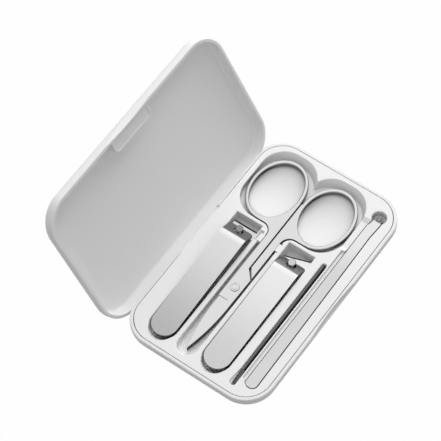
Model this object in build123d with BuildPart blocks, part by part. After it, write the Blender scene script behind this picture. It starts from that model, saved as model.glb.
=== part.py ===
from build123d import *
import os
from math import atan2, cos, radians, sin, tan

os.makedirs("parts", exist_ok=True)

# Frame: origin at the centre of the base's flat underside, +X toward the finger loops,
# +Y toward the hinge, +Z up. All lengths in mm.

# Tray layout across the case, front to hinge: pockets and the lands between them
front_land = 5.75
pick_width = 5.2
groove_gap = 0.6
pick_land = 2.2
file_slot_width = 2.35
file_land = 4.3
clipper_pocket_width = 13.7
lower_channel_land = 2.2
channel_width = 9.8
upper_channel_land = 2.3
rear_land = 10.1

# Case outline, as wide as its layout
case_length = 118.0
case_corner = 14.25
case_width = (front_land + pick_width + 2 * groove_gap + pick_land + file_slot_width + file_land
              + 2 * clipper_pocket_width + lower_channel_land + channel_width
              + upper_channel_land + rear_land)
half_length = case_length / 2
half_width = case_width / 2
pick_lower_y = -half_width + front_land + groove_gap
pick_upper_y = pick_lower_y + pick_width
file_y = pick_upper_y + groove_gap + pick_land + file_slot_width / 2
clipper_b_y = file_y + file_slot_width / 2 + file_land + clipper_pocket_width / 2
channel_lower_y = clipper_b_y + clipper_pocket_width / 2 + lower_channel_land
channel_upper_y = channel_lower_y + channel_width
clipper_a_y = channel_upper_y + upper_channel_land + clipper_pocket_width / 2

# Base
base_height = 8.5
base_floor = 1.0
shell_wall = 1.6
rim_round = 0.6
rear_rim_round = 2.9
side_flat = 1.9
base_bottom_round = base_height - rim_round - side_flat
cutter_over = 1.0

# Lid
lid_gap = 0.3
lid_height = 7.7
lid_crown_round = 5.5
lid_wall = 1.5
lid_hollow_depth = 5.7
lid_hollow_round = 1.2
lid_rim_round = 0.5
lid_open_angle = 115.5
lid_rim_z = base_height + lid_gap

# Thumb relief in the front of both halves
catch_depth = 0.9
base_catch_length = 35.4
base_catch_height = 3.2
lid_catch_length = 32.6
lid_catch_height = 2.4

# Hinge
hinge_setback = 2.1
hinge_drop = 3.4
hinge_y = half_width - hinge_setback
hinge_z = base_height - hinge_drop
tongue_length = 28.0
knuckle_radius = 2.1
neck_inner = 0.1
pin_radius = 0.8
pin_engagement = 4.0
pin_running = 0.05
hinge_side_gap = 0.2
notch_gap = 0.2
boss_length = 5.5
boss_reach = 2.4

# Tray
seam_gap = 0.35
plate_thickness = 1.0
pocket_wall = 1.5
pocket_floor = 0.8
pocket_edge_round = 0.4
plate_bottom_z = base_height - plate_thickness

# Magnet latch
pad_length = 24.8
pad_width = 6.9
pad_corner = 2.5
pad_setback = 0.4
pad_border = 0.9
pad_dish = 0.25
pad_dish_corner = 1.2
magnet_cover = 1.0
magnet_length = 18.0
magnet_width = 4.4
magnet_height = 2.2
strike_length = 24.0
strike_width = 1.9
strike_thickness = 0.8
strike_setback = 0.6

# Clipper pockets
clipper_a_floor_z = 2.8
clipper_b_floor_z = base_floor + pocket_floor
clipper_pocket_setback = 5.4
clipper_pocket_left = -half_length + clipper_pocket_setback
clipper_pocket_right = 16.3
crescent_width = 1.3
crescent_inset = 0.2
crescent_depth = 2.0

# Clippers
clipper_width = 12.4
clipper_tail_width = 8.6
clipper_tail_gap = 1.6
clipper_tail = clipper_pocket_left + clipper_tail_gap
clipper_front = 13.8
tail_round = 3.0
arm_thickness = 1.1
arm_gap = 0.12
arm_peak_height = 3.1
arm_taper_x = -8.0
jaw_height = 1.2
jaw_opening = 0.8
jaw_run = 6.0
jaw_bevel = 1.15
jaw_edge = 0.2
jaw_toe = 0.4
jaw_skew = 18.0
rivet_setback = 3.4
rivet_x = clipper_tail + rivet_setback
rivet_radius = 1.0
rivet_head_radius = 1.9
rivet_head_height = 0.5
rivet_hole_gap = 0.12
arm_flat_length = 3.6
arm_bend_x = rivet_x + arm_flat_length

# Levers and their posts
lever_thickness = 1.0
lever_width = 12.5
lever_tail_gap = 1.3
lever_tail = clipper_pocket_left + lever_tail_gap
bend_x = 3.9
bend_outer_round = 3.0
bend_search = 1.0
lip_x = 10.2
lip_corner = 1.5
lip_hole_half_width = 2.3
lip_hole_corner = 1.6
lip_hole_back = 2.35
post_x = 8.4
post_flat = 0.3
clipper_a_tail_rise = 0.5
clipper_a_bend_rise = 3.8
clipper_a_lip_slope = 31.0
clipper_a_post_radius = 1.75
clipper_a_post_rise = 2.8
clipper_b_tail_rise = 0.6
clipper_b_bend_rise = 1.7
clipper_b_lip_slope = 33.4
clipper_b_post_radius = 1.85
clipper_b_post_rise = 0.8
post_top_round = 0.45
post_hole_gap = 0.4
notch_play = 0.25
notch_height = 2.2
notch_drop = 0.8

# Scissors
scissor_floor_z = 4.8
scissor_height = 3.2
blade_thickness = 1.5
blade_gap = 0.1
pivot_x = -15.0
parting_setback = 4.7
parting_y = channel_lower_y + parting_setback
parting_gap = 0.75
shank_half_width = 3.62
web_round = 4.8
cross_x = -8.6
cross_gap = 1.0
fork_x = -4.1
shoulder_x = -21.8
shoulder_step = 0.4
blade_inset = 0.2
cutting_mid_x = -35.0
cutting_mid = 2.85
back_mid_x = -40.0
back_mid = 2.15
tip_half_width = 0.1
blade_step = 0.35
blade_step_edge = 1.2
screw_radius = 1.3
screw_head_radius = 2.1
screw_head_height = 0.35
screw_running = 0.05
screw_ring_outer = 1.5
screw_ring_inner = 1.2
screw_ring_depth = 0.15
loop_wall = 1.8
loop_edge_round = 0.7

# Scissor recess: a channel and two rounded bays
channel_setback = 5.0
channel_left = -half_length + channel_setback
tip_gap = 3.8
tip_x = channel_left + tip_gap
throat_step = 1.1
throat_upper_y = channel_upper_y - throat_step
throat_gap = 0.8
recess_left = 17.9
recess_setback = 3.9
recess_right = half_length - recess_setback
recess_rear_land = 4.5
recess_upper_y = half_width - recess_rear_land
bay_land = 2.75
recess_lower_y = pick_upper_y + groove_gap + bay_land
cusp_rise = 0.4
recess_mid_y = parting_y + cusp_rise
bay_overlap = 1.0
nose_setback = 6.1
nose_cut_width = 1.6
bay_flat = 1.8
bay_slope_run = 3.1
dish_depth = 1.5
dish_margin = 1.0
dish_sections = 5
loop_end_gap = 0.8
loop_slope_gap = 0.3
loop_side_gap = 0.65
recess_corner = (recess_upper_y - recess_mid_y + bay_overlap) / 2 - bay_flat

# Scissor loops, fitted to their bays
loop_left = recess_left + loop_end_gap
loop_right = recess_right - bay_slope_run - loop_slope_gap
loop_x = (loop_left + loop_right) / 2
loop_half_length = (loop_right - loop_left) / 2
shank_upper_y = parting_y + shank_half_width
shank_lower_y = parting_y - shank_half_width
upper_loop_top = recess_upper_y - loop_side_gap
lower_loop_bottom = recess_lower_y + loop_side_gap
upper_loop_y = (upper_loop_top + parting_y + parting_gap / 2) / 2
lower_loop_y = (lower_loop_bottom + parting_y - parting_gap / 2) / 2
upper_loop_half_height = upper_loop_top - upper_loop_y
lower_loop_half_height = lower_loop_y - lower_loop_bottom

# Snap tabs beside the shanks
tab_left = 9.3
tab_length = 3.8
tab_fixed_gap = 0.2
tab_moving_gap = 0.3
tab_depth = 2.0
tab_relief_left = 8.7
tab_relief_length = 5.9
tab_relief_width = 1.8
tab_relief_depth = 1.4
tab_slit = 0.6
tab_slit_reach = 0.8

# Nail file
file_thickness = 1.5
file_side_gap = 0.25
file_middle_y = file_y + file_slot_width / 2 - file_side_gap - file_thickness / 2
file_height = 5.4
file_tip_length = 6.5
file_tip_height = 1.6
file_floor_z = 2.4
file_slot_setback = 5.3
file_slot_left = -half_length + file_slot_setback
file_slot_right = 16.2
file_end_round = 1.6
file_end_length = 9.0
file_end_depth = 1.5
file_tail_gap = 2.2
file_left = file_slot_left + file_tail_gap
file_front_gap = 1.2
file_right = file_slot_right - file_front_gap

# Ear pick, placed from its spoon
pick_spoon_setback = 10.7
pick_spoon_x = half_length - pick_spoon_setback
pick_spoon_inset = 2.75
pick_spoon_y = pick_lower_y + pick_spoon_inset
pick_spoon_radius = 2.0
pick_spoon_drop = 0.8
pick_spoon_dish = 0.6
pick_thickness = 1.5
pick_tail_setback = 8.6
pick_left = -half_length + pick_tail_setback
pick_end_round = 2.3
pick_waist_back = 10.0
pick_waist_rise = 1.05
pick_taper_back = 6.0
pick_neck_back = 3.3
pick_neck_inset = 0.55
pick_neck_drop = 0.75
pick_fold_back = 1.9
groove_floor_z = 6.5
pit_radius = 3.4
pit_floor_z = 4.6

# Finger scoop between the pick's groove and the lower bay
scoop_back = 2.7
scoop_length = 19.6
scoop_ramp = 2.2
scoop_depth = 1.2
scoop_lap = 0.4
shelf_width = 1.5
shelf_depth = 1.2
shelf_setback = 2.0


def rounded_block(inset, bottom_z, top_z, bottom_round):
    """Solid inside the case outline by an inset, with its bottom edge rounded."""
    with BuildPart() as block:
        with BuildSketch(Plane.XY.offset(bottom_z)):
            RectangleRounded(case_length - 2 * inset, case_width - 2 * inset, case_corner - inset)
        extrude(amount=top_z - bottom_z)
        fillet(block.faces().sort_by(Axis.Z)[0].edges(), bottom_round)
    return block.part


def lid_hollow():
    """Room inside the shut lid, with its roof edge rounded."""
    with BuildPart() as hollow:
        with BuildSketch(Plane.XY.offset(lid_rim_z)):
            RectangleRounded(case_length - 2 * lid_wall, case_width - 2 * lid_wall,
                             case_corner - lid_wall)
        extrude(amount=lid_hollow_depth)
        fillet(hollow.faces().sort_by(Axis.Z)[-1].edges(), lid_hollow_round)
    return hollow.part


def rear_rounding():
    """Corner left outside the large rounding along the base's rear edge."""
    arc_y = half_width - rear_rim_round
    arc_z = base_height - rear_rim_round
    with BuildPart() as corner:
        with BuildSketch(Plane.YZ):
            with Locations((half_width, base_height)):
                Rectangle(2 * rear_rim_round, 2 * rear_rim_round)
            with Locations((arc_y, arc_z)):
                Circle(rear_rim_round, mode=Mode.SUBTRACT)
            with Locations((arc_y - rear_rim_round, arc_z - rear_rim_round)):
                Rectangle(2 * rear_rim_round, 4 * rear_rim_round, mode=Mode.SUBTRACT)
            with Locations((half_width, arc_z - 2 * rear_rim_round)):
                Rectangle(4 * rear_rim_round, 4 * rear_rim_round, mode=Mode.SUBTRACT)
        extrude(amount=half_length, both=True)
    return corner.part


def thumb_relief(length, bottom_z, height, lean):
    """Shallow circular scallop in the front face; lean is its loss of depth on the way up."""
    radius = (length**2 / 4 + catch_depth**2) / (2 * catch_depth)
    with BuildPart() as relief:
        for level_z, depth in ((bottom_z, catch_depth), (bottom_z + height, catch_depth - lean)):
            with BuildSketch(Plane.XY.offset(level_z)):
                with Locations((0, -half_width + depth - radius)):
                    Circle(radius)
        loft(ruled=True)
    return relief.part


def end_rounded_slot(left, right, lower, upper, round_right):
    """Long slot with a round left end; its right end is square unless told otherwise."""
    radius = (upper - lower) / 2
    middle = (upper + lower) / 2
    straight_right = right - radius if round_right else right
    with BuildSketch() as slot:
        with Locations(((left + radius + straight_right) / 2, middle)):
            Rectangle(straight_right - left - radius, upper - lower)
        with Locations((left + radius, middle)):
            Circle(radius)
        if round_right:
            with Locations((straight_right, middle)):
                Circle(radius)
    return slot.sketch


def clipper_pocket(middle_y):
    """Plan of one clipper's pocket."""
    return end_rounded_slot(clipper_pocket_left, clipper_pocket_right,
                            middle_y - clipper_pocket_width / 2,
                            middle_y + clipper_pocket_width / 2, False)


def bay_outline(lower, upper, right):
    """Plan of one rounded bay."""
    with BuildSketch() as bay:
        with Locations(((recess_left + right) / 2, (lower + upper) / 2)):
            RectangleRounded(right - recess_left, upper - lower, recess_corner)
    return bay.sketch


# each bay's lower and upper side
bays = [
    (recess_mid_y - bay_overlap, recess_upper_y),
    (recess_lower_y, recess_mid_y + bay_overlap),
]


def scissor_recess():
    """Channel for the shanks and blades opening into the two bays for the loops."""
    with BuildSketch() as recess:
        add(end_rounded_slot(channel_left, tab_left, channel_lower_y, channel_upper_y, False))
        with Locations(((tab_left + recess_left + recess_corner) / 2,
                        (channel_lower_y + throat_upper_y) / 2)):
            Rectangle(recess_left + recess_corner - tab_left, throat_upper_y - channel_lower_y)
        for lower, upper in bays:
            add(bay_outline(lower, upper, recess_right))
        with Locations((recess_left + recess_corner / 2, (recess_lower_y + recess_upper_y) / 2)):
            Rectangle(recess_corner, recess_upper_y - recess_lower_y - 2 * recess_corner)
        throat = recess.vertices().filter_by_position(
            Axis.X, recess_left - seam_gap, recess_left + seam_gap)
        throat = throat.filter_by_position(
            Axis.Y, channel_lower_y - seam_gap, throat_upper_y + seam_gap)
        fillet(throat, web_round - throat_gap)
    return recess.sketch


def pick_stem():
    """Plan of the ear pick's stem: a slightly waisted strip with a narrower neck."""
    neck_x = pick_spoon_x - pick_neck_back
    fold_x = pick_spoon_x - pick_fold_back
    neck_lower_y = pick_lower_y + pick_neck_inset
    neck_upper_y = pick_upper_y - pick_neck_drop
    with BuildSketch() as stem:
        Polygon((pick_left, pick_lower_y),
                (pick_spoon_x - pick_waist_back, pick_lower_y + pick_waist_rise),
                (neck_x, neck_lower_y), (fold_x, neck_lower_y),
                (fold_x, neck_upper_y), (neck_x, neck_upper_y),
                (pick_spoon_x - pick_taper_back, pick_upper_y), (pick_left, pick_upper_y),
                align=None)
        fillet(stem.vertices().group_by(Axis.X)[0], pick_end_round)
    return stem.sketch


def pick_groove():
    """Plan of the ear pick's groove, a gap wider than the stem all round."""
    with BuildSketch() as groove:
        add(pick_stem())
        offset(amount=groove_gap, kind=Kind.INTERSECTION)
    return groove.sketch


def spoon_pit():
    """Plan of the deeper round pit under the ear pick's spoon."""
    with BuildSketch() as pit:
        with Locations((pick_spoon_x, pick_spoon_y)):
            Circle(pit_radius)
    return pit.sketch


# each pocket: plan, floor height, and how far its floor dips further
pockets = [
    (clipper_pocket(clipper_a_y), clipper_a_floor_z, 0),
    (clipper_pocket(clipper_b_y), clipper_b_floor_z, 0),
    (scissor_recess(), scissor_floor_z, dish_depth),
    (end_rounded_slot(file_slot_left, file_slot_right, file_y - file_slot_width / 2,
                      file_y + file_slot_width / 2, True), file_floor_z, 0),
    (pick_groove(), groove_floor_z, 0),
    (spoon_pit(), pit_floor_z, 0),
]

crescent_floor_z = base_height - crescent_depth
crescent_middles = [(clipper_pocket_left + clipper_pocket_width / 2, middle_y)
                    for middle_y in (clipper_a_y, clipper_b_y)]

# Base shell: rounded tub with a thumb relief in front and a hinge notch at the back
with BuildPart() as base_shell:
    add(rounded_block(0, 0, base_height, base_bottom_round))
    fillet(base_shell.faces().sort_by(Axis.Z)[-1].edges(), rim_round)
    outer_form = base_shell.part
    add(rear_rounding(), mode=Mode.SUBTRACT)
    add(rounded_block(shell_wall, base_floor, base_height + cutter_over,
                      base_bottom_round - shell_wall), mode=Mode.SUBTRACT)
    add(thumb_relief(base_catch_length, base_height - base_catch_height, base_catch_height, 0),
        mode=Mode.SUBTRACT)
    boss_x = tongue_length / 2 + hinge_side_gap + boss_length / 2
    with BuildSketch(Plane.XY.offset(base_floor)):
        for side in (-1, 1):
            with Locations((side * boss_x, (hinge_y - boss_reach + half_width - shell_wall) / 2)):
                Rectangle(boss_length, half_width - shell_wall - hinge_y + boss_reach)
    extrude(amount=plate_bottom_z - base_floor)
    add(outer_form, mode=Mode.INTERSECT)
    # swept room of the tongue
    sweep_radius = (knuckle_radius**2 + (lid_rim_z - hinge_z)**2) ** 0.5 + notch_gap
    tongue_room = tongue_length + 2 * hinge_side_gap
    low_angle = radians(-lid_open_angle)
    low_y = hinge_y + (knuckle_radius + notch_gap) * cos(low_angle)
    low_z = hinge_z + (knuckle_radius + notch_gap) * sin(low_angle)
    with BuildSketch(Plane.YZ.offset(-tongue_room / 2)):
        with Locations((hinge_y, hinge_z)):
            Circle(knuckle_radius + notch_gap)
        Polygon((hinge_y - notch_gap, hinge_z),
                (hinge_y - notch_gap, base_height + cutter_over),
                (half_width + sweep_radius, base_height + cutter_over),
                (half_width + sweep_radius, hinge_z - sweep_radius),
                (low_y - sweep_radius * sin(low_angle), low_z + sweep_radius * cos(low_angle)),
                (low_y, low_z), align=None)
    extrude(amount=tongue_room, mode=Mode.SUBTRACT)
    with BuildSketch(Plane.YZ.offset(-tongue_length / 2 - pin_engagement)):
        with Locations((hinge_y, hinge_z)):
            Circle(pin_radius)
    extrude(amount=tongue_length + 2 * pin_engagement, mode=Mode.SUBTRACT)
base_shell.part.label = "base_shell"
export_step(base_shell.part, "parts/base_shell.step")

# Tray insert: thin plate level with the rim, with a walled tub under every pocket
with BuildPart() as tray_insert:
    for outline, floor_z, dip in pockets:
        tub_bottom_z = floor_z - dip - pocket_floor
        with BuildSketch(Plane.XY.offset(tub_bottom_z)):
            add(outline)
            offset(amount=pocket_wall)
        extrude(amount=base_height - tub_bottom_z)
    with BuildSketch(Plane.XY.offset(crescent_floor_z - pocket_floor)):
        with Locations(*crescent_middles):
            Circle(clipper_pocket_width / 2 + crescent_width + pocket_wall)
    extrude(amount=base_height - crescent_floor_z + pocket_floor)
    with BuildSketch(Plane.XY.offset(plate_bottom_z)):
        RectangleRounded(case_length, case_width, case_corner)
    extrude(amount=plate_thickness)
    add(rounded_block(shell_wall + seam_gap, base_floor, base_height,
                      base_bottom_round - shell_wall), mode=Mode.INTERSECT)
    add(rear_rounding(), mode=Mode.SUBTRACT)
    for outline, floor_z, dip in pockets:
        if not dip:
            with BuildSketch(Plane.XY.offset(floor_z)):
                add(outline)
            extrude(amount=base_height - floor_z, mode=Mode.SUBTRACT)
    # scissor recess: upright walls except the bays' far ends, which slope outward
    slope_x = recess_right - bay_slope_run - recess_corner
    with BuildSketch(Plane.XY.offset(scissor_floor_z)):
        add(scissor_recess())
        with Locations((slope_x + half_length / 2, 0)):
            Rectangle(half_length, case_width, mode=Mode.SUBTRACT)
    extrude(amount=base_height - scissor_floor_z, mode=Mode.SUBTRACT)
    for lower, upper in bays:
        with BuildSketch(Plane.XY.offset(scissor_floor_z)):
            add(bay_outline(lower, upper, recess_right - bay_slope_run))
        with BuildSketch(Plane.XY.offset(base_height)):
            add(bay_outline(lower, upper, recess_right))
        loft(ruled=True, mode=Mode.SUBTRACT)
    # blunt nose where the two bays meet
    for height, nose_x in ((scissor_floor_z, recess_right - nose_setback - bay_slope_run),
                           (base_height, recess_right - nose_setback)):
        with BuildSketch(Plane.XY.offset(height)):
            with Locations(((loop_x + nose_x) / 2, recess_mid_y)):
                Rectangle(nose_x - loop_x, nose_cut_width)
    loft(ruled=True, mode=Mode.SUBTRACT)
    mouths = tray_insert.faces().sort_by(Axis.Z)[-1].inner_wires()
    fillet([edge for mouth in mouths for edge in mouth.edges()], pocket_edge_round)
    # shallow dish in the floor under each loop
    for lower, upper in bays:
        dish_radius = (upper - lower) / 2 - dish_margin
        for step in range(dish_sections):
            share = 1 - step / dish_sections
            with BuildSketch(Plane.XY.offset(scissor_floor_z - dish_depth * (1 - share**2))):
                with Locations((loop_x, (lower + upper) / 2)):
                    Circle(dish_radius * share)
        loft(mode=Mode.SUBTRACT)
    # finger crescent past each clipper's tail
    with BuildSketch(Plane.XY.offset(crescent_floor_z)):
        with Locations(*crescent_middles):
            Ellipse(clipper_pocket_width / 2 + crescent_width,
                    clipper_pocket_width / 2 - crescent_inset)
    extrude(amount=crescent_depth, mode=Mode.SUBTRACT)
    # wider, shallower end of the file's slot, past the file's tip
    with BuildSketch(Plane.XY.offset(base_height - file_end_depth)):
        slot_lower_y = file_y - file_slot_width / 2
        with Locations((file_slot_left + file_end_round, slot_lower_y + file_end_round)):
            Circle(file_end_round)
        with Locations((file_slot_left + file_end_length, file_y)):
            Circle(file_slot_width / 2)
        make_hull()
    extrude(amount=file_end_depth, mode=Mode.SUBTRACT)
    # finger scoop, ramped at both ends
    scoop_middle_x = pick_spoon_x - scoop_back - scoop_length / 2
    scoop_lower_y = pick_upper_y - scoop_lap
    scoop_upper_y = recess_lower_y + scoop_lap
    for height, length in ((base_height - scoop_depth, scoop_length - 2 * scoop_ramp),
                           (base_height, scoop_length)):
        with BuildSketch(Plane.XY.offset(height)):
            with Locations((scoop_middle_x, (scoop_lower_y + scoop_upper_y) / 2)):
                Rectangle(length, scoop_upper_y - scoop_lower_y)
    loft(ruled=True, mode=Mode.SUBTRACT)
    # lowered shelf along the pick's hinge side, up to the scoop
    shelf_left = pick_left + shelf_setback
    shelf_length = scoop_middle_x - scoop_length / 2 - shelf_left
    with BuildSketch(Plane.XY.offset(base_height - shelf_depth)):
        with Locations((shelf_left + shelf_length / 2,
                        pick_upper_y + (groove_gap + shelf_width) / 2)):
            Rectangle(shelf_length, groove_gap + shelf_width)
    extrude(amount=shelf_depth, mode=Mode.SUBTRACT)
    # room for the hinge tongue behind the plate's rear edge
    with BuildSketch(Plane.XY.offset(plate_bottom_z)):
        with Locations((0, half_width)):
            Rectangle(tongue_length + 2 * hinge_side_gap, 2 * (half_width - hinge_y + notch_gap))
    extrude(amount=plate_thickness, mode=Mode.SUBTRACT)
    # snap tabs: one in a lowered relief, the other between two slits
    tab_middle_x = tab_left + tab_length / 2
    with BuildSketch(Plane.XY.offset(base_height - tab_relief_depth)):
        with Locations((tab_relief_left + tab_relief_length / 2,
                        channel_upper_y + tab_relief_width / 2)):
            Rectangle(tab_relief_length, tab_relief_width)
        for slit_x in (tab_left - tab_slit / 2, tab_left + tab_length + tab_slit / 2):
            with Locations((slit_x, channel_lower_y)):
                Rectangle(tab_slit, 2 * tab_slit_reach)
    extrude(amount=tab_relief_depth, mode=Mode.SUBTRACT)
    upper_tab_y = shank_upper_y + tab_fixed_gap
    lower_tab_y = shank_lower_y - tab_moving_gap
    with BuildSketch(Plane.XY.offset(scissor_floor_z)):
        with Locations((tab_middle_x, upper_tab_y + tab_depth / 2),
                       (tab_middle_x, lower_tab_y - tab_depth / 2)):
            Rectangle(tab_length, tab_depth)
    extrude(amount=base_height - scissor_floor_z)
tray_insert.part.label = "tray_insert"
export_step(tray_insert.part, "parts/tray_insert.step")

# Steel strip under the tray's front edge, which the magnet holds
with BuildPart() as strike_plate:
    strike_y = -half_width + shell_wall + strike_setback + strike_width / 2
    with BuildSketch(Plane.XY.offset(plate_bottom_z - strike_thickness)):
        with Locations((0, strike_y)):
            Rectangle(strike_length, strike_width)
    extrude(amount=strike_thickness)
strike_plate.part.label = "strike_plate"
export_step(strike_plate.part, "parts/strike_plate.step")

# Hinge pin: through the tongue and into both bosses
with BuildPart() as hinge_pin:
    with BuildSketch(Plane.YZ.offset(-tongue_length / 2 - pin_engagement)):
        with Locations((hinge_y, hinge_z)):
            Circle(pin_radius)
    extrude(amount=tongue_length + 2 * pin_engagement)
hinge_pin.part.label = "hinge_pin"
export_step(hinge_pin.part, "parts/hinge_pin.step")

hinge_axis = Axis((0, hinge_y, hinge_z), (1, 0, 0))

# Lid shell, drawn shut and then swung open about the hinge
with BuildPart() as lid_shell:
    with BuildSketch(Plane.XY.offset(lid_rim_z)):
        RectangleRounded(case_length, case_width, case_corner)
    extrude(amount=lid_height)
    fillet(lid_shell.faces().sort_by(Axis.Z)[-1].edges(), lid_crown_round)
    add(lid_hollow(), mode=Mode.SUBTRACT)
    fillet(lid_shell.faces().sort_by(Axis.Z)[0].outer_wire().edges(), lid_rim_round)
    add(thumb_relief(lid_catch_length, lid_rim_z, 2 * lid_catch_height, 2 * catch_depth),
        mode=Mode.SUBTRACT)
    tongue_top_z = lid_rim_z + 2 * lid_rim_round
    with BuildSketch(Plane.YZ.offset(-tongue_length / 2)):
        with Locations((hinge_y, hinge_z)):
            Circle(knuckle_radius)
        Polygon((hinge_y + neck_inner, hinge_z), (half_width, hinge_z),
                (half_width, tongue_top_z), (half_width - lid_wall / 2, tongue_top_z),
                (hinge_y + neck_inner, lid_rim_z), align=None)
        with Locations((hinge_y, hinge_z)):
            Circle(pin_radius + pin_running, mode=Mode.SUBTRACT)
    extrude(amount=tongue_length)
lid_open = lid_shell.part.rotate(hinge_axis, -lid_open_angle)
lid_open.label = "lid_shell"
export_step(lid_open, "parts/lid_shell.step")

# Magnet holder: closed pad behind the lid's front wall, hollow for the magnet
pad_back_y = -half_width + lid_wall
pad_middle_y = pad_back_y + pad_width / 2
magnet_z = lid_rim_z + pad_setback + magnet_cover
with BuildPart() as magnet_holder:
    with BuildSketch(Plane.XY.offset(lid_rim_z + pad_setback)):
        with Locations((0, pad_back_y)):
            RectangleRounded(pad_length, 2 * pad_width, pad_corner)
    extrude(amount=lid_hollow_depth - pad_setback)
    add(lid_hollow(), mode=Mode.INTERSECT)
    with BuildSketch(Plane.XY.offset(lid_rim_z + pad_setback)):
        with Locations((0, pad_middle_y)):
            RectangleRounded(pad_length - 2 * pad_border, pad_width - 2 * pad_border,
                             pad_dish_corner)
    extrude(amount=pad_dish, mode=Mode.SUBTRACT)
    with BuildSketch(Plane.XY.offset(magnet_z)):
        with Locations((0, pad_middle_y)):
            Rectangle(magnet_length, magnet_width)
    extrude(amount=magnet_height, mode=Mode.SUBTRACT)
holder_open = magnet_holder.part.rotate(hinge_axis, -lid_open_angle)
holder_open.label = "magnet_holder"
export_step(holder_open, "parts/magnet_holder.step")

with BuildPart() as lid_magnet:
    with BuildSketch(Plane.XY.offset(magnet_z)):
        with Locations((0, pad_middle_y)):
            Rectangle(magnet_length, magnet_width)
    extrude(amount=magnet_height)
magnet_open = lid_magnet.part.rotate(hinge_axis, -lid_open_angle)
magnet_open.label = "lid_magnet"
export_step(magnet_open, "parts/lid_magnet.step")


def arm_plan(middle_y):
    """Plan of both arms: full width at the jaw, narrowing to a rounded tail."""
    half_front = clipper_width / 2
    half_tail = clipper_tail_width / 2
    far_right = clipper_front + clipper_width
    with BuildSketch() as plan:
        with Locations((0, middle_y)):
            Polygon((far_right, -half_front), (far_right, half_front),
                    (arm_taper_x, half_front), (clipper_tail, half_tail),
                    (clipper_tail, -half_tail), (arm_taper_x, -half_front), align=None)
        fillet(plan.vertices().group_by(Axis.X)[0], tail_round)
    return plan.sketch


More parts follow.
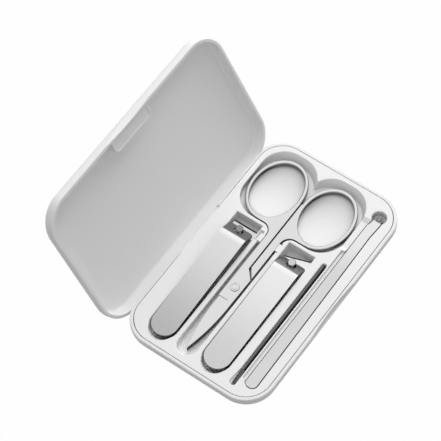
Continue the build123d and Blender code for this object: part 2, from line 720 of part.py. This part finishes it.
# Two clippers: one with a straight jaw, one with a slanted jaw and a flatter lever
for name, middle_y, floor_z, skew, tail_rise, bend_rise, lip_slope, post_radius, post_rise in (
        ("clipper_a", clipper_a_y, clipper_a_floor_z, 0, clipper_a_tail_rise,
         clipper_a_bend_rise, clipper_a_lip_slope, clipper_a_post_radius, clipper_a_post_rise),
        ("clipper_b", clipper_b_y, clipper_b_floor_z, jaw_skew, clipper_b_tail_rise,
         clipper_b_bend_rise, clipper_b_lip_slope, clipper_b_post_radius, clipper_b_post_rise)):
    side = Plane(origin=(0, middle_y, 0), x_dir=(1, 0, 0), z_dir=(0, -1, 0))
    across = (-tan(radians(skew)), 1, 0)
    arm_reach = clipper_width / 2 / cos(radians(skew))
    far_left = clipper_tail - clipper_width
    upper_tail = arm_thickness + arm_gap
    upper_jaw = jaw_height + jaw_opening
    peak_underside = arm_peak_height - arm_thickness

    with BuildPart() as lower_arm:
        with BuildSketch(side):
            with Locations((0, floor_z)):
                Polygon((far_left, 0), (clipper_front - jaw_bevel, 0), (clipper_front, jaw_toe),
                        (clipper_front, jaw_height), (clipper_front - jaw_edge, jaw_height),
                        (clipper_front - jaw_bevel, arm_thickness), (far_left, arm_thickness),
                        align=None)
        extrude(amount=arm_reach, dir=across, both=True)
        with BuildSketch(Plane.XY.offset(floor_z)):
            add(arm_plan(middle_y))
        extrude(amount=base_height, mode=Mode.INTERSECT)
        with BuildSketch(Plane.XY.offset(floor_z)):
            with Locations((post_x, middle_y)):
                Circle(post_radius + pin_running)
            with Locations((rivet_x, middle_y)):
                Circle(rivet_radius)
        extrude(amount=base_height, mode=Mode.SUBTRACT)
    lower_arm.part.label = name + "_lower_arm"
    export_step(lower_arm.part, "parts/" + name + "_lower_arm.step")

    with BuildPart() as upper_arm:
        with BuildSketch(side):
            with Locations((0, floor_z)):
                Polygon((far_left, upper_tail), (arm_bend_x, upper_tail),
                        (clipper_front - jaw_run, peak_underside), (clipper_front, upper_jaw),
                        (clipper_front, upper_jaw + jaw_edge),
                        (clipper_front - jaw_bevel, arm_peak_height),
                        (clipper_front - jaw_run, arm_peak_height),
                        (arm_bend_x, upper_tail + arm_thickness),
                        (far_left, upper_tail + arm_thickness), align=None)
        extrude(amount=arm_reach, dir=across, both=True)
        with BuildSketch(Plane.XY.offset(floor_z)):
            add(arm_plan(middle_y))
        extrude(amount=base_height, mode=Mode.INTERSECT)
        with BuildSketch(Plane.XY.offset(floor_z)):
            with Locations((post_x, middle_y)):
                Circle(post_radius + post_hole_gap)
            with Locations((rivet_x, middle_y)):
                Circle(rivet_radius + rivet_hole_gap)
        extrude(amount=base_height, mode=Mode.SUBTRACT)
    upper_arm.part.label = name + "_upper_arm"
    export_step(upper_arm.part, "parts/" + name + "_upper_arm.step")

    # rivet: shank set in the lower arm, low head over the upper arm
    head_z = floor_z + upper_tail + arm_thickness + arm_gap
    with BuildPart() as rivet:
        with BuildSketch(Plane.XY.offset(floor_z)):
            with Locations((rivet_x, middle_y)):
                Circle(rivet_radius)
        extrude(amount=head_z - floor_z)
        with BuildSketch(Plane.XY.offset(head_z)):
            with Locations((rivet_x, middle_y)):
                Circle(rivet_head_radius)
        extrude(amount=rivet_head_height)
        fillet(rivet.faces().sort_by(Axis.Z)[-1].edges(), rivet_head_height / 2)
    rivet.part.label = name + "_rivet"
    export_step(rivet.part, "parts/" + name + "_rivet.step")

    # lever: long blade rising to a bend, then a sloping lip with the post's hole
    tail_z = base_height + tail_rise
    bend_z = base_height + bend_rise
    slope = radians(lip_slope)
    rise_angle = atan2(bend_z - tail_z, bend_x - lever_tail)
    lip_z = bend_z - (lip_x - bend_x) * tan(slope)
    miter = lever_thickness / cos((rise_angle + slope) / 2)
    lean = (slope - rise_angle) / 2
    hole_front_x = post_x + post_flat + notch_play + lever_thickness * sin(slope)
    hole_length = (hole_front_x - post_x + lip_hole_back) / cos(slope)
    hole_x = (hole_front_x + post_x - lip_hole_back) / 2
    with BuildPart() as lever:
        with BuildSketch(side) as lever_side:
            Polygon((lever_tail, tail_z), (bend_x, bend_z), (lip_x, lip_z),
                    (lip_x - lever_thickness * sin(slope), lip_z - lever_thickness * cos(slope)),
                    (bend_x - miter * sin(lean), bend_z - miter * cos(lean)),
                    (lever_tail, tail_z - lever_thickness), align=None)
            bend = lever_side.vertices().filter_by_position(
                Axis.X, bend_x - bend_search, bend_x + bend_search).sort_by(Axis.Z)
            fillet(bend[-1], bend_outer_round)
            inner_bend = lever_side.vertices().filter_by_position(
                Axis.Z, tail_z, bend_z - lever_thickness).filter_by_position(
                Axis.X, bend_x - bend_search, bend_x + bend_search)
            fillet(inner_bend, bend_outer_round - lever_thickness)
        extrude(amount=lever_width / 2, both=True)
        with BuildSketch() as lever_plan:
            add(end_rounded_slot(lever_tail, lip_x, middle_y - lever_width / 2,
                                 middle_y + lever_width / 2, False))
            fillet(lever_plan.vertices().group_by(Axis.X)[-1], lip_corner)
        extrude(amount=2 * base_height, mode=Mode.INTERSECT)
        with BuildSketch(Plane(origin=(hole_x, middle_y, bend_z - (hole_x - bend_x) * tan(slope)),
                               x_dir=(cos(slope), 0, -sin(slope)),
                               z_dir=(sin(slope), 0, cos(slope)))):
            RectangleRounded(hole_length, 2 * lip_hole_half_width, lip_hole_corner)
        extrude(amount=2 * lever_thickness, both=True, mode=Mode.SUBTRACT)
    lever.part.label = name + "_lever"
    export_step(lever.part, "parts/" + name + "_lever.step")

    # post: turns in both arms, its side notch holding the lever's bridge
    bridge_z = bend_z - (hole_front_x - bend_x) * tan(slope)
    with BuildPart() as post:
        with BuildSketch(Plane.XY.offset(floor_z)):
            with Locations((post_x, middle_y)):
                Circle(post_radius)
        extrude(amount=base_height + post_rise - floor_z)
        fillet(post.faces().sort_by(Axis.Z)[-1].edges(), post_top_round)
        with BuildSketch(Plane.XY.offset(bridge_z - notch_drop - notch_height / 2)):
            with Locations((post_x + post_flat + post_radius, middle_y)):
                Rectangle(2 * post_radius, 2 * lip_hole_half_width)
        extrude(amount=notch_height, mode=Mode.SUBTRACT)
    post.part.label = name + "_post"
    export_step(post.part, "parts/" + name + "_post.step")


def loop_ring(middle_y, half_height):
    """Oval finger ring with softly rounded edges."""
    with BuildPart() as ring:
        with BuildSketch(Plane.XY.offset(scissor_floor_z)):
            with Locations((loop_x, middle_y)):
                Ellipse(loop_half_length, half_height)
                Ellipse(loop_half_length - loop_wall, half_height - loop_wall, mode=Mode.SUBTRACT)
        extrude(amount=scissor_height)
        fillet(ring.edges(), loop_edge_round)
    return ring.part


def blade_plan(hand):
    """Plan of one blade and its root; hand is 1 for the upper half and -1 for the lower."""
    def across(distance):
        return parting_y + hand * distance

    with BuildSketch() as plan:
        with BuildLine():
            Polyline((shoulder_x, across(shank_half_width - shoulder_step)),
                     (shoulder_x, across(shank_half_width)),
                     (cross_x + cross_gap, across(shank_half_width)),
                     (fork_x + cross_gap, across(parting_gap / 2)),
                     (fork_x, across(parting_gap / 2)), (cross_x, across(-shank_half_width)),
                     (shoulder_x, across(blade_inset - shank_half_width)))
            Spline((shoulder_x, across(blade_inset - shank_half_width)),
                   (cutting_mid_x, across(-cutting_mid)), (tip_x, across(-tip_half_width)))
            Spline((tip_x, across(-tip_half_width)), (back_mid_x, across(back_mid)),
                   (shoulder_x, across(shank_half_width - shoulder_step)))
        make_face()
    return plan.sketch


def handle(hand, middle_y, half_height):
    """Full-height shank with a web into its finger ring."""
    edge_y = parting_y + hand * shank_half_width
    inner_y = parting_y + hand * parting_gap / 2
    with BuildPart() as grip:
        with BuildSketch(Plane.XY.offset(scissor_floor_z)) as web:
            Polygon((cross_x + cross_gap, edge_y), (fork_x + cross_gap, inner_y),
                    (loop_x, inner_y), (loop_x, middle_y),
                    (loop_left, middle_y), (loop_left, edge_y), align=None)
            corner = web.vertices().sort_by_distance((loop_left, edge_y))[0]
            fillet(corner, web_round)
        extrude(amount=scissor_height)
        with BuildSketch(Plane.XY.offset(scissor_floor_z)):
            with Locations((loop_x, middle_y)):
                Ellipse(loop_half_length - loop_wall / 2, half_height - loop_wall / 2)
        extrude(amount=scissor_height, mode=Mode.SUBTRACT)
        add(loop_ring(middle_y, half_height))
    return grip.part


scissor_top_z = scissor_floor_z + scissor_height
upper_blade_z = scissor_top_z - blade_thickness

# Upper half: its shank runs to the loop on the hinge side
with BuildPart() as scissor_upper_half:
    with BuildSketch(Plane.XY.offset(upper_blade_z)):
        add(blade_plan(1))
    extrude(amount=blade_thickness)
    with BuildSketch(Plane.XY.offset(scissor_top_z - blade_step)):
        Polygon((shoulder_x, shank_upper_y), (shoulder_x, parting_y - blade_step_edge),
                (tip_x, parting_y - tip_half_width), (tip_x, shank_upper_y), align=None)
    extrude(amount=blade_step, mode=Mode.SUBTRACT)
    add(handle(1, upper_loop_y, upper_loop_half_height))
    with BuildSketch(Plane.XY.offset(scissor_floor_z)):
        with Locations((pivot_x, parting_y)):
            Circle(screw_radius)
    extrude(amount=scissor_height, mode=Mode.SUBTRACT)
scissor_upper_half.part.label = "scissor_upper_half"
export_step(scissor_upper_half.part, "parts/scissor_upper_half.step")

# Lower half: same plan turned over, under the upper blade
with BuildPart() as scissor_lower_half:
    with BuildSketch(Plane.XY.offset(scissor_floor_z)):
        add(blade_plan(-1))
    extrude(amount=scissor_height - blade_thickness - blade_gap)
    add(handle(-1, lower_loop_y, lower_loop_half_height))
    with BuildSketch(Plane.XY.offset(scissor_floor_z)):
        with Locations((pivot_x, parting_y)):
            Circle(screw_radius + screw_running)
    extrude(amount=scissor_height, mode=Mode.SUBTRACT)
scissor_lower_half.part.label = "scissor_lower_half"
export_step(scissor_lower_half.part, "parts/scissor_lower_half.step")

# Pivot screw: shank through both halves, ringed head on top
with BuildPart() as scissor_screw:
    with BuildSketch(Plane.XY.offset(scissor_floor_z)):
        with Locations((pivot_x, parting_y)):
            Circle(screw_radius)
    extrude(amount=scissor_height)
    with BuildSketch(Plane.XY.offset(scissor_top_z)):
        with Locations((pivot_x, parting_y)):
            Circle(screw_head_radius)
    extrude(amount=screw_head_height)
    fillet(scissor_screw.faces().sort_by(Axis.Z)[-1].edges(), screw_head_height / 2)
    with BuildSketch(Plane.XY.offset(scissor_top_z + screw_head_height - screw_ring_depth)):
        with Locations((pivot_x, parting_y)):
            Circle(screw_ring_outer)
            Circle(screw_ring_inner, mode=Mode.SUBTRACT)
    extrude(amount=screw_ring_depth, mode=Mode.SUBTRACT)
scissor_screw.part.label = "scissor_screw"
export_step(scissor_screw.part, "parts/scissor_screw.step")

# Nail file: flat strip on edge, narrowing toward its tip
with BuildPart() as nail_file:
    with BuildSketch(Plane(origin=(0, file_middle_y, file_floor_z), x_dir=(1, 0, 0), z_dir=(0, -1, 0))):
        Polygon((file_left, (file_height - file_tip_height) / 2),
                (file_left, (file_height + file_tip_height) / 2),
                (file_left + file_tip_length, file_height), (file_right, file_height),
                (file_right, 0), (file_left + file_tip_length, 0), align=None)
    extrude(amount=file_thickness / 2, both=True)
nail_file.part.label = "nail_file"
export_step(nail_file.part, "parts/nail_file.step")

# Ear pick: flat stem narrowing to a neck, with a small dished spoon turned down at the end
with BuildPart() as ear_pick:
    with BuildSketch(Plane.XY.offset(groove_floor_z)):
        add(pick_stem())
    extrude(amount=pick_thickness)
    spoon_z = groove_floor_z - pick_spoon_drop
    with BuildSketch(Plane.XY.offset(spoon_z)):
        with Locations((pick_spoon_x, pick_spoon_y)):
            Circle(pick_spoon_radius)
    extrude(amount=pick_thickness)
    with Locations((pick_spoon_x, pick_spoon_y,
                    spoon_z + pick_thickness + pick_spoon_radius - pick_spoon_dish)):
        Sphere(pick_spoon_radius, mode=Mode.SUBTRACT)
ear_pick.part.label = "ear_pick"
export_step(ear_pick.part, "parts/ear_pick.step")
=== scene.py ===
import bpy
from mathutils import Matrix, Vector

# Manicure set case: the solids come ready made, this file gives them their finishes, the light and the view.

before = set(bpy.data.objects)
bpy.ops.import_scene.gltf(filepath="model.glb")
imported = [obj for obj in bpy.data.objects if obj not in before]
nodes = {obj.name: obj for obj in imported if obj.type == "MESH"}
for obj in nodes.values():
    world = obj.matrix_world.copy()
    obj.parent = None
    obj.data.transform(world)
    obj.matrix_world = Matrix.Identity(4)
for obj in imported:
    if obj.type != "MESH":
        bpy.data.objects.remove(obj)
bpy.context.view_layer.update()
print("frame loaded:", len(nodes), "nodes")


# shader helpers

coolness = 1.005  # how much bluer than neutral each grey is
white = (1, 1, 1, 1)
black = (0, 0, 0, 1)


def grey(value):
    return (value, value, value * coolness, 1)


def feed(tree, source, socket):
    # source: another node's output, or a plain value
    if isinstance(source, bpy.types.NodeSocket):
        tree.links.new(source, socket)
    else:
        socket.default_value = source


def newNode(tree, kind, **inputs):
    # a name's _ stands for a space
    node = tree.nodes.new(kind)
    for name, source in inputs.items():
        feed(tree, source, node.inputs[name.replace("_", " ")])
    return node


def newOrdered(tree, kind, *sources):
    # node whose inputs are fed in order, for kinds that give several inputs one name
    node = tree.nodes.new(kind)
    for source, socket in zip(sources, node.inputs):
        feed(tree, source, socket)
    return node


def newMaths(tree, kind, operation, *sources):
    node = newOrdered(tree, kind, *sources)
    node.operation = operation
    return node


def newMix(tree, dataType, factor, first, second):
    # first where factor is 0, second where it is 1
    mix = tree.nodes.new("ShaderNodeMix")
    mix.data_type = dataType
    for source, label in ((factor, "Factor"), (first, "A"), (second, "B")):
        feed(tree, source, mix.inputs[label])
    return mix.outputs["Result"]


groupOutputs = (("Color", "NodeSocketColor"), ("Roughness", "NodeSocketFloat"), ("Height", "NodeSocketFloat"))


def newGroup(name, inputs):
    # inputs: name, socket type, default
    group = bpy.data.node_groups.new(name, "ShaderNodeTree")
    for label, kind, default in inputs:
        socket = group.interface.new_socket(name=label, in_out="INPUT", socket_type=kind)
        socket.default_value = default
    for label, kind in groupOutputs:
        group.interface.new_socket(name=label, in_out="OUTPUT", socket_type=kind)
    return group, group.nodes.new("NodeGroupInput"), group.nodes.new("NodeGroupOutput")


def endGroup(group, given, result, colour, pattern):
    # colour as it stands, roughness between Smooth and Rough by the pattern, height from the pattern
    gloss = newMix(group, "FLOAT", pattern, given.outputs["Smooth"], given.outputs["Rough"])
    for source, label in ((colour, "Color"), (gloss, "Roughness"), (pattern, "Height")):
        feed(group, source, result.inputs[label])


def makeMouldedGrain():
    # fine pebble of a moulded surface, with a slow drift in tone over the whole part
    group, given, result = newGroup(
        "mouldedGrain",
        [("Scale", "NodeSocketFloat", 2600.0), ("Light", "NodeSocketColor", white),
         ("Dark", "NodeSocketColor", (0.9, 0.9, 0.9, 1)), ("Smooth", "NodeSocketFloat", 0.4),
         ("Rough", "NodeSocketFloat", 0.5)])
    place = group.nodes.new("ShaderNodeTexCoord").outputs["Object"]
    fine = newNode(group, "ShaderNodeTexNoise", Vector=place, Scale=given.outputs["Scale"], Detail=3.0,
                   Roughness=0.6)
    slow = newNode(group, "ShaderNodeTexNoise", Vector=place, Scale=22.0, Detail=2.0, Roughness=0.5)
    tone = newMix(group, "RGBA", slow.outputs["Fac"], given.outputs["Light"], given.outputs["Dark"])
    endGroup(group, given, result, tone, fine.outputs["Fac"])
    return group


# what a face of the steel counts as, by its normal, for the painted shade and highlight tones: not at all at the
# first number, fully at the second
facingLimits = {
    "side": (0.75, 0.97),  # how far it faces the front or the back
    "slope": (0.3, 0.7),  # how far it faces up, here and below
    "top": (0.87, 0.95),
    "level": (0.965, 0.995),
}


def makeBrushingWithPaintedLight():
    # brushed metal: streaks, and painted light: a tone for each way a face lies, which paints shade and
    # reflection. Level tops drift from Near to Far along Axis, a painted gradient of reflection and shade, and
    # turn to Crest past Crest From. Tops that aren't quite level are Crest all over; Crest is a painted
    # highlight on the levers' bends and painted shade in the pick's spoon.
    group, given, result = newGroup(
        "brushingWithPaintedLight",
        [("Stretch", "NodeSocketVector", (60.0, 2500.0, 2500.0)), ("Axis", "NodeSocketVector", (1.0, 0.0, 0.0)),
         ("From", "NodeSocketFloat", -0.05), ("To", "NodeSocketFloat", 0.01),
         ("Near", "NodeSocketColor", grey(0.7)), ("Far", "NodeSocketColor", grey(0.7)),
         ("Crest", "NodeSocketColor", grey(0.7)), ("Crest From", "NodeSocketFloat", 1.0),
         ("Crest To", "NodeSocketFloat", 1.1), ("Slope", "NodeSocketColor", grey(0.2)),
         ("Side", "NodeSocketColor", grey(0.1)), ("Side Far", "NodeSocketColor", grey(0.1)),
         ("End", "NodeSocketColor", grey(0.3)), ("Streak", "NodeSocketFloat", 0.08),
         ("Smooth", "NodeSocketFloat", 0.25), ("Rough", "NodeSocketFloat", 0.35)])

    def blend(factor, first, second):
        # first and second: the group's own inputs by name, or outputs of nodes
        ends = [given.outputs[end] if isinstance(end, str) else end for end in (first, second)]
        return newMix(group, "RGBA", factor, *ends)

    def ramp(value, low, high):
        # 0 below low, 1 above high, smooth between; low and high are numbers or outputs
        part = newNode(group, "ShaderNodeMapRange", Value=value, From_Min=low, From_Max=high)
        part.interpolation_type = "SMOOTHSTEP"
        return part.outputs["Result"]

    place = group.nodes.new("ShaderNodeTexCoord")
    facing = newNode(group, "ShaderNodeSeparateXYZ", Vector=place.outputs["Normal"])
    spot = place.outputs["Object"]
    squeeze = newMaths(group, "ShaderNodeVectorMath", "MULTIPLY", spot, given.outputs["Stretch"])
    along = newMaths(group, "ShaderNodeVectorMath", "DOT_PRODUCT", spot, given.outputs["Axis"])
    sideways = newMaths(group, "ShaderNodeMath", "ABSOLUTE", facing.outputs["Y"])
    streaks = newNode(group, "ShaderNodeTexNoise", Vector=squeeze.outputs["Vector"], Scale=1.0, Detail=4.0,
                      Roughness=0.55)
    # painted gradient along Axis, and a painted band past Crest From
    drift = ramp(along.outputs["Value"], given.outputs["From"], given.outputs["To"])
    paintedCrestMask = ramp(along.outputs["Value"], given.outputs["Crest From"], given.outputs["Crest To"])
    upwards = facing.outputs["Z"]
    # tones by the way a face lies: painted shade on sides, ends and slopes, painted highlight where a top is not
    # quite level
    side = blend(drift, "Side", "Side Far")
    upright = blend(ramp(sideways.outputs["Value"], *facingLimits["side"]), "End", side)
    sloped = blend(ramp(upwards, *facingLimits["slope"]), upright, "Slope")
    flat = blend(paintedCrestMask, blend(drift, "Near", "Far"), "Crest")
    crested = blend(ramp(upwards, *facingLimits["level"]), "Crest", flat)
    tone = blend(ramp(upwards, *facingLimits["top"]), sloped, crested)
    shade = newMaths(group, "ShaderNodeMath", "MULTIPLY", streaks.outputs["Fac"], given.outputs["Streak"])
    darker = newMix(group, "RGBA", shade.outputs["Value"], tone, black)
    endGroup(group, given, result, darker, streaks.outputs["Fac"])
    return group


mouldedGrain = makeMouldedGrain()
brushingWithPaintedLight = makeBrushingWithPaintedLight()


def makeMaterial(name, look, group, **shine):
    material = bpy.data.materials.new(name)
    material.use_nodes = True
    tree = material.node_tree
    shader = tree.nodes["Principled BSDF"]
    for label, value in shine.items():
        shader.inputs[label.replace("_", " ")].default_value = value
    surface = tree.nodes.new("ShaderNodeGroup")
    surface.node_tree = group
    for label in surface.inputs.keys():
        if label in look:
            surface.inputs[label].default_value = look[label]
    bump = newNode(tree, "ShaderNodeBump", Strength=look["relief"], Distance=look["reliefDepth"],
                   Height=surface.outputs["Height"])
    sources = (("Base Color", surface.outputs["Color"]), ("Roughness", surface.outputs["Roughness"]),
               ("Normal", bump.outputs["Normal"]))
    for label, source in sources:
        feed(tree, source, shader.inputs[label])
    return material


# white plastic

shellWhite = {"Scale": 2400.0, "Light": grey(0.87), "Dark": grey(0.85), "Smooth": 0.38, "Rough": 0.5,
              "relief": 0.05, "reliefDepth": 0.00005}
# the shell's white made darker for the magnet pad, a painted shade
padShadedWhite = dict(shellWhite, Light=grey(0.8), Dark=grey(0.78))
trayWhite = {"Scale": 2800.0, "Light": grey(0.89), "Dark": grey(0.87), "Smooth": 0.42, "Rough": 0.54,
             "relief": 0.05, "reliefDepth": 0.00005}
plastics = [
    ("shellWhite", shellWhite, 0.2, ["base_shell", "lid_shell"]),
    ("trayWhite", trayWhite, 0.3, ["tray_insert"]),
    ("padShadedWhite", padShadedWhite, 0.2, ["magnet_holder"]),
]

# steel

steelTones = ("Near", "Far", "Crest", "Slope", "Side", "Side Far", "End")


def steel(start, **changes):
    # start's look with these values instead; a name's _ stands for a space, and tones are given as greys
    look = dict(start)
    for name, value in changes.items():
        label = name.replace("_", " ")
        look[label] = grey(value) if label in steelTones else value
    return look


# levers: painted reflection from Near at the tail to Far at the bend, a painted highlight (Crest) just before
# the bend, painted shade on the lip (Slope) and near-black painted shade on the sides; lever A is painted darker
# than lever B
leverSteelA = steel(
    {}, Stretch=(70.0, 2600.0, 2600.0), From=-0.055, To=0.004, Near=0.5, Far=0.78, Crest=1.0, Crest_From=0.0007,
    Crest_To=0.0037, Slope=0.2, Side=0.003, Side_Far=0.003, End=0.75, Streak=0.1, Smooth=0.24, Rough=0.34,
    relief=0.04, reliefDepth=0.00003)
leverSteelB = steel(leverSteelA, Near=0.64, Far=0.88, Slope=0.33)
# arms and rivets: near-black painted shade on bevels (Slope); A's are painted darker than B's
armSteelA = steel(leverSteelA, Near=0.75, Far=0.75, Crest=0.75, Slope=0.03, End=0.75)
armSteelB = steel(armSteelA, Near=0.9, Far=0.9, Crest=0.9)
# posts: pin A's head painted darker than pin B's, painted shade and reflection
postSteelA = steel(armSteelA, Near=0.3, Far=0.3, Crest=0.3, Slope=0.15)
postSteelB = steel(postSteelA, Near=0.66, Far=0.66, Crest=0.66)
# scissors: faces low in the halves painted dark (Near), painted shade in the gap between the halves, up to Far
# at the top; near-black painted shade on the sides
scissorSteel = steel(
    {}, Stretch=(90.0, 900.0, 900.0), Axis=(0.0, 0.0, 1.0), From=0.0066, To=0.0076, Near=0.14, Far=0.76,
    Crest=0.85, Slope=0.5, Side=0.02, Side_Far=0.06, End=0.2, Streak=0.06, Smooth=0.16, Rough=0.24, relief=0.02,
    reliefDepth=0.00003)
# screw: near-black painted shade on its rounded edge and sides
screwSteel = steel(scissorSteel, Slope=0.06, End=0.05)
# ear pick: painted gradient lighter towards the spoon, painted shade in the spoon (Crest), near-black painted
# shade on its side
pickSteel = steel(
    scissorSteel, Axis=(1.0, 0.0, 0.0), From=0.012, To=0.036, Near=0.7, Far=0.84, Crest=0.3, Crest_From=0.0455,
    Crest_To=0.0475, Slope=0.25, Side=0.003, End=0.3)
# file: painted shade across its top edge, near black at the -Y side and lighter at +Y; the strong streaks are
# its rough grain
fileSteel = steel(
    {}, Stretch=(2600.0, 2600.0, 2600.0), Axis=(0.0, 1.0, 0.0), From=-0.0213, To=-0.0203, Near=0.02, Far=0.24,
    Crest=0.15, Slope=0.1, Side=0.02, Side_Far=0.1, End=0.3, Streak=0.4, Smooth=0.4, Rough=0.55, relief=0.4,
    reliefDepth=0.00006)
plainSteel = steel(leverSteelA, Near=0.5, Far=0.5, Crest=0.5, Slope=0.45, Side=0.4, Side_Far=0.4, End=0.4)
metals = [
    ("leverSteelA", leverSteelA, ["clipper_a_lever"]),
    ("leverSteelB", leverSteelB, ["clipper_b_lever"]),
    ("armSteelA", armSteelA, ["clipper_a_lower_arm", "clipper_a_upper_arm", "clipper_a_rivet"]),
    ("armSteelB", armSteelB, ["clipper_b_lower_arm", "clipper_b_upper_arm", "clipper_b_rivet"]),
    ("postSteelA", postSteelA, ["clipper_a_post"]),
    ("postSteelB", postSteelB, ["clipper_b_post"]),
    ("scissorSteel", scissorSteel, ["scissor_upper_half", "scissor_lower_half"]),
    ("screwSteel", screwSteel, ["scissor_screw"]),
    ("pickSteel", pickSteel, ["ear_pick"]),
    ("fileSteel", fileSteel, ["nail_file"]),
    ("plainSteel", plainSteel, ["strike_plate", "hinge_pin", "lid_magnet"]),
]

finishes = {}
for label, look, specular, wearers in plastics:
    finishes.update(dict.fromkeys(wearers, makeMaterial(label, look, mouldedGrain, Specular_IOR_Level=specular)))
for label, look, wearers in metals:
    finishes.update(dict.fromkeys(wearers, makeMaterial(label, look, brushingWithPaintedLight, Metallic=1.0)))
for name, node in nodes.items():
    node.data.materials.clear()
    node.data.materials.append(finishes[name])
print("finishes set")

# studio

studio = {
    "floorHalf": 1.5,
    "floorDrop": 0.0002,
    "floorTone": 0.32,
    "floorOwnLight": 0.985,
    "skyTone": 0.54,
    "crown": {"place": (0.3, 0.2, 0.95), "size": 0.55, "watts": 1.9},
    "right": {"place": (0.85, 0.2, 0.5), "size": 0.55, "watts": 6.0},
}


def seenRays(tree):
    # 1 for rays from the eye, off a mirror or through glass, 0 for the rays that carry light around
    path = tree.nodes.new("ShaderNodeLightPath")
    total = path.outputs["Is Camera Ray"]
    for label in ("Is Glossy Ray", "Is Transmission Ray"):
        both = newMaths(tree, "ShaderNodeMath", "ADD", total, path.outputs[label])
        both.use_clamp = True
        total = both.outputs[0]
    return total


def makeFloor():
    # flat square under the case, a hair below it; it shows white and bounces a darker tone
    half, low = studio["floorHalf"], -studio["floorDrop"]
    mesh = bpy.data.meshes.new("floor")
    corners = [(x * half, y * half, low) for x, y in ((-1, -1), (1, -1), (1, 1), (-1, 1))]
    mesh.from_pydata(corners, [], [(0, 1, 2, 3)])
    floor = bpy.data.objects.new("floor", mesh)
    bpy.context.scene.collection.objects.link(floor)
    material = bpy.data.materials.new("floorPaper")
    material.use_nodes = True
    tree = material.node_tree
    tree.nodes.clear()
    paper = newNode(tree, "ShaderNodeBsdfDiffuse", Color=grey(studio["floorTone"]))
    glow = newNode(tree, "ShaderNodeEmission", Color=white, Strength=1.0)
    share = newMaths(tree, "ShaderNodeMath", "MULTIPLY", seenRays(tree), studio["floorOwnLight"])
    mix = newOrdered(tree, "ShaderNodeMixShader", share.outputs[0], paper.outputs[0], glow.outputs[0])
    newNode(tree, "ShaderNodeOutputMaterial", Surface=mix.outputs[0])
    mesh.materials.append(material)
    return floor


def makeSky():
    # white to the eye, soft grey as a light
    world = bpy.data.worlds.new("studioSky")
    world.use_nodes = True
    tree = world.node_tree
    tree.nodes.clear()
    soft = newNode(tree, "ShaderNodeBackground", Color=grey(studio["skyTone"]), Strength=1.0)
    plain = newNode(tree, "ShaderNodeBackground", Color=white, Strength=1.0)
    mix = newOrdered(tree, "ShaderNodeMixShader", seenRays(tree), soft.outputs[0], plain.outputs[0])
    newNode(tree, "ShaderNodeOutputWorld", Surface=mix.outputs[0])
    bpy.context.scene.world = world


def makeSoftbox(name):
    # square lamp aimed at the middle of the case
    look = studio[name]
    lamp = bpy.data.lights.new(name, "AREA")
    lamp.energy = look["watts"]
    lamp.size = look["size"]
    holder = bpy.data.objects.new(name, lamp)
    bpy.context.scene.collection.objects.link(holder)
    holder.location = look["place"]
    holder.visible_glossy = False
    holder.rotation_euler = Vector(look["place"]).to_track_quat("Z", "Y").to_euler()


floor = makeFloor()
makeSky()
for name in ("crown", "right"):
    makeSoftbox(name)
print("studio set")

# camera: looks down at the open case from its front left, long lens

view = {
    "place": (-0.354279, -0.287836, 0.847951),
    "right": (0.58549987, -0.80892981, -0.05312689),
    "up": (0.71900789, 0.48790887, 0.49494705),
    "back": (-0.37445634, -0.32799009, 0.8672975),
    "lens": 179.59,
    "sensor": 36.0,
}
lens = bpy.data.cameras.new("camera")
lens.lens = view["lens"]
lens.sensor_width = view["sensor"]
camera = bpy.data.objects.new("camera", lens)
bpy.context.scene.collection.objects.link(camera)
turn = Matrix((view["right"], view["up"], view["back"])).transposed().to_4x4()
camera.matrix_world = Matrix.Translation(view["place"]) @ turn
bpy.context.scene.camera = camera
bpy.context.scene.view_settings.view_transform = "Standard"

bpy.context.view_layer.update()
